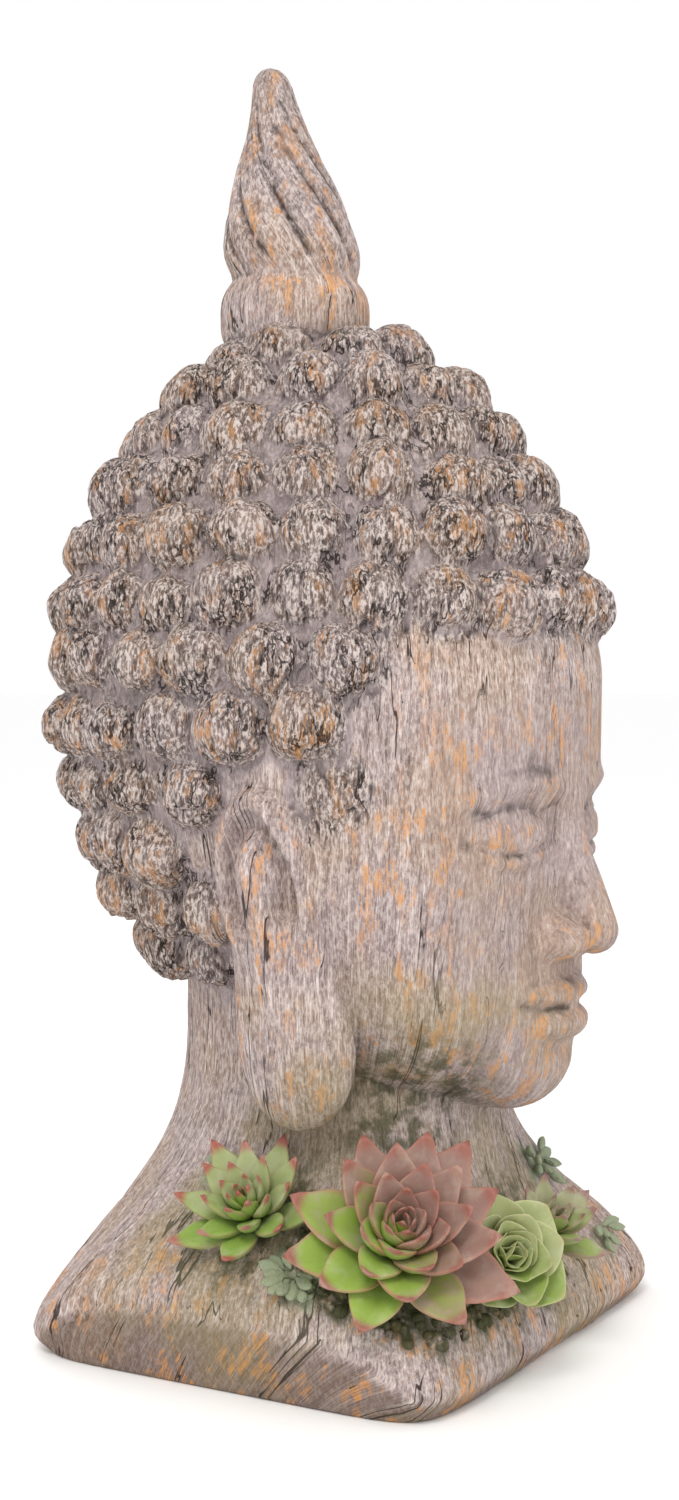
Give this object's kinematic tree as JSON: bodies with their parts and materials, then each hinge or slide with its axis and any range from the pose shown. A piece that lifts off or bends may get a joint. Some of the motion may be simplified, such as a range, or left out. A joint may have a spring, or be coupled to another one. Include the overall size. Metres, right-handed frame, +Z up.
{
  "type": "buddha head statue",
  "caption": "Cast garden statue of a calm head with snail-curl hair, long ears and a flame topknot on a flared base, dressed with moulded succulents; it stands by its own weight.",
  "frame": {"origin": "centre of the flat underside", "axes": "+Z up to the tip of the topknot, -Y the way the face looks, +X the statue's left"},
  "size_m": [0.2334, 0.2478, 0.52],
  "materials": {
    "cast_stone": "cast stone-filled resin with a weathered driftwood grain, dark cracks and ochre rubs",
    "mauve_leaf": "matt moulded leaves, dusty mauve above and lime green below",
    "green_leaf": "satin moulded leaves, green with red tips",
    "pale_leaf": "matt moulded ruffled leaves, pale green",
    "dusty_leaf": "matt moulded leaves, grey green with mauve tips"
  },
  "bodies": {
    "root": {"cast_head": "cast_stone", "large_rosette": "mauve_leaf", "left_rosette": "green_leaf", "ruffled_rosette": "pale_leaf", "small_rosette": "dusty_leaf"}
  },
  "joints": []
}
